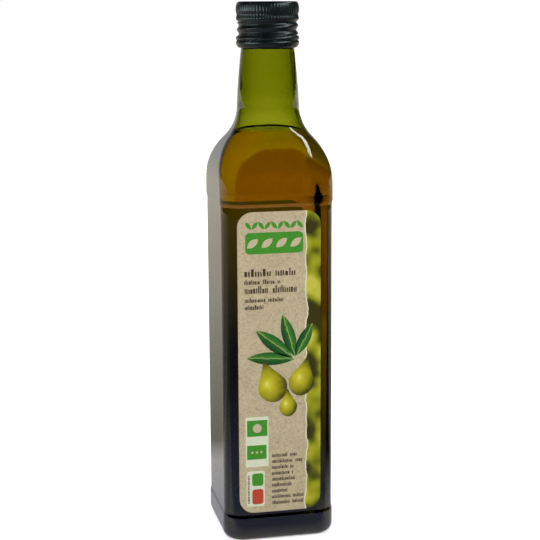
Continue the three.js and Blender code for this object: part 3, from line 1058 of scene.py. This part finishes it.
def camera():
    """The photo's view, which looks down on the bottle from its left."""
    azimuth = CAMERA_AZIMUTH + CAMERA_YAW
    level = math.cos(CAMERA_PITCH)
    forward = Vector((-math.sin(azimuth) * level, math.cos(azimuth) * level, -math.sin(CAMERA_PITCH)))
    right = forward.cross(Vector((0, 0, 1))).normalized()
    turn = Matrix.Rotation(-CAMERA_ROLL, 3, forward)
    right = turn @ right
    up = right.cross(forward)
    data = bpy.data.cameras.new("camera")
    data.lens = CAMERA_LENS
    eye = bpy.data.objects.new("camera", data)
    bpy.context.scene.collection.objects.link(eye)
    x = CAMERA_DISTANCE * math.sin(CAMERA_AZIMUTH)
    y = -CAMERA_DISTANCE * math.cos(CAMERA_AZIMUTH)
    axes = Matrix((right, up, -forward)).transposed().to_4x4()
    eye.matrix_world = Matrix.Translation((x, y, CAMERA_HEIGHT)) @ axes
    bpy.context.scene.camera = eye


def ground_distance(tree, place, stretch):
    """Distance from the bottle's axis on the floor; a stretch above 1 draws the field out along x."""
    x = math_node(tree, "DIVIDE", place["X"], stretch)
    square = math_node(tree, "ADD", product(tree, x, x), product(tree, place["Y"], place["Y"]))
    return math_node(tree, "SQRT", square)


def in_the_glass(tree):
    """Whether a ray has been mirrored on its way, and whether it came straight through clear things."""
    path = node(tree, "ShaderNodeLightPath")
    mirrored = math_node(tree, "GREATER_THAN", path.outputs["Glossy Depth"], 0.5)
    direct = math_node(tree, "SUBTRACT", 1.0, mirrored)
    return path, mirrored, product(tree, path.outputs["Is Transmission Ray"], direct)


def through_oil(tree, path):
    """Whether a ray crossed more surfaces than the glass alone has."""
    return math_node(tree, "GREATER_THAN", path.outputs["Transmission Depth"], AIR_SURFACES)


def painted_reflection_on_floor(tree, place, distance, path):
    """Painted reflection: colour and strength of the glow that the floor shows only to rays mirrored by
    the glass; rays from inside it get less.
    """
    along = map_range(tree, place["Y"], -MIRROR_REACH, MIRROR_REACH, 0.0, 1.0)
    left = map_range(tree, place["X"], *MIRROR_LEFT_FADE)
    right = map_range(tree, place["X"], *MIRROR_RIGHT_FADE)
    ahead = map_range(tree, place["Y"], *MIRROR_AHEAD)
    level = math_node(tree, "MAXIMUM", product(tree, left, right), ahead)
    returned = product(tree, level, map_range(tree, distance, *MIRROR_RETURNED))
    strength = either(tree, path.outputs["Is Reflection Ray"], returned, level)
    return ramp(tree, along, FLOOR_PAINTED_REFLECTION), strength


def painted_glow_behind(tree, place, distance, path):
    """Colour and strength of the painted glow that the floor shows only through the bottle, with a painted
    shade near the base and painted light to the right and far off.
    """
    colour = ramp(tree, map_range(tree, distance, 0.0, BEHIND_REACH, 0.0, 1.0), PAINTED_GLOW_BEHIND)
    lean = product(tree, place["Y"], WEDGE_LEAN)
    wedge = map_range(tree, math_node(tree, "SUBTRACT", place["X"], lean), *WEDGE_EDGE)
    side = product(tree, math_node(tree, "ABSOLUTE", place["X"]), SECTOR_SLOPE)
    sector = map_range(tree, math_node(tree, "SUBTRACT", place["Y"], side), *SECTOR_EDGE)
    colour = mixed(tree, wedge, colour, WEDGE_COLOUR)
    colour = mixed(tree, sector, BESIDE_COLOUR, colour)
    colour = mixed(tree, through_oil(tree, path), AIR_COLOUR, colour)
    # Painted shade near the base and painted light to the right and far off
    near = map_range(tree, ground_distance(tree, place, CONTACT_STRETCH), *CONTACT_SHADE)
    right = product(tree, sector, map_range(tree, place["X"], *RIGHT_LIGHT))
    light = math_node(tree, "MAXIMUM", right, map_range(tree, distance, *FAR_LIGHT))
    return colour, product(tree, near, light, BEHIND_STRENGTH)


def stage_floor():
    """Pale floor that glows, less near the bottle; to rays mirrored by the glass or sent through it, it
    shows painted glow instead, which paints the glass's reflections and what is seen through it, dark in
    front and bright behind.
    """
    bm = bmesh.new()
    bmesh.ops.create_grid(bm, x_segments=8, y_segments=8, size=FLOOR_HALF)
    material, tree, shader = new_material("pale_floor", {
        "Base Color": (0.8, 0.8, 0.8, 1), "Roughness": 0.9, "Specular IOR Level": 0.0,
        "Emission Color": (1, 1, 1, 1)})
    place = split_xyz(tree, object_coordinates(tree))
    distance = ground_distance(tree, place, 1.0)
    # Painted glow: the floor emits less near the bottle, which paints a soft shade round its base
    glow = map_range(tree, distance, 0.15, 1.2, FLOOR_GLOW_NEAR, FLOOR_GLOW_FAR)
    tree.links.new(glow, shader.inputs["Emission Strength"])
    path, mirrored, through = in_the_glass(tree)
    mirror_colour, mirror_strength = painted_reflection_on_floor(tree, place, distance, path)
    behind_colour, behind_strength = painted_glow_behind(tree, place, distance, path)
    seen = node(tree, "ShaderNodeEmission")
    tree.links.new(mixed(tree, through, mirror_colour, behind_colour), seen.inputs["Color"])
    tree.links.new(either(tree, through, mirror_strength, behind_strength), seen.inputs["Strength"])
    choice = node(tree, "ShaderNodeMixShader")
    tree.links.new(math_node(tree, "MAXIMUM", mirrored, through), choice.inputs["Fac"])
    tree.links.new(shader.outputs["BSDF"], choice.inputs[1])
    tree.links.new(seen.outputs["Emission"], choice.inputs[2])
    tree.links.new(choice.outputs["Shader"], tree.nodes["Material Output"].inputs["Surface"])
    floor = piece_from(bm, "floor", material)


def stage_world():
    """White surroundings, whose mirror image in the glass is dark except behind the bottle."""
    world = bpy.data.worlds.new("studio")
    bpy.context.scene.world = world
    world.use_nodes = True
    tree = world.node_tree
    direction = split_xyz(tree, node(tree, "ShaderNodeTexCoord").outputs["Generated"])
    path, mirrored, through = in_the_glass(tree)
    inner, outer = (
        product(tree, map_range(tree, direction["Y"], *by_y), map_range(tree, direction["Z"], *by_z))
        for by_y, by_z in ((INNER_BY_Y, INNER_BY_Z), (OUTER_BY_Y, OUTER_BY_Z)))
    behind = either(tree, path.outputs["Is Reflection Ray"], inner, outer)
    plain = mixed(tree, path.outputs["Is Camera Ray"], (AMBIENT,) * 3, WHITE)
    clear = mixed(tree, through_oil(tree, path), WORLD_THROUGH_AIR, WORLD_THROUGH_OIL)
    bright = mixed(tree, through, plain, clear)
    tree.links.new(mixed(tree, mirrored, bright, behind), tree.nodes["Background"].inputs["Color"])


def area_light(name, place, target, size, power):
    """Rectangular light at a place, turned to face its target."""
    data = bpy.data.lights.new(name, "AREA")
    data.shape = "RECTANGLE"
    data.size, data.size_y = size
    data.energy = power
    light = bpy.data.objects.new(name, data)
    light.location = place
    light.rotation_euler = (Vector(target) - Vector(place)).to_track_quat("-Z", "Y").to_euler()
    bpy.context.scene.collection.objects.link(light)
    return light


def studio_lights():
    """Soft lights for matt surfaces, two gleams for the cap and one streak for the shoulder."""
    soft = [
        area_light("key_left", (-0.75, -0.75, 0.65), (0, 0, 0.12), (0.6, 0.8), 5.8),
        area_light("key_right", (0.75, -0.6, 0.65), (0, 0, 0.14), (0.5, 0.6), 4.6),
        area_light("top_back", (0, 0.7, 1.1), (0, 0.3, 0), (1.6, 0.8), 9),
    ]
    for light in soft:
        light.visible_glossy = False
        light.visible_transmission = False
    cap_only = bpy.data.collections.new("cap_only")
    cap_only.objects.link(bpy.data.objects["aluminium_cap"])
    gleams = [
        area_light("cap_gleam_right", (0.42, -0.4, 0.56), (0, 0, 0.26), (0.5, 0.16), 2.4),
        area_light("cap_gleam_left", (-0.68, -0.2, 0.27), (0, 0, 0.26), (0.6, 0.14), 2.2),
    ]
    for gleam in gleams:
        gleam.data.color = (0.74, 1.0, 0.97)
        gleam.light_linking.receiver_collection = cap_only
    streak = area_light("shoulder_streak", (0.8, 0.06, 1.05), (0.01, -0.02, 0.2), (0.9, 0.11), 2.6)
    streak.visible_diffuse = False
    streak.visible_transmission = False


camera()
add_glass_pieces()
add_cap()
add_labels()
stage_floor()
stage_world()
studio_lights()

bpy.context.scene.view_settings.view_transform = "Standard"
bpy.context.scene.cycles.max_bounces = 24
bpy.context.scene.cycles.transmission_bounces = 20
bpy.context.scene.cycles.glossy_bounces = 8
bpy.context.scene.cycles.denoising_input_passes = "RGB_ALBEDO"
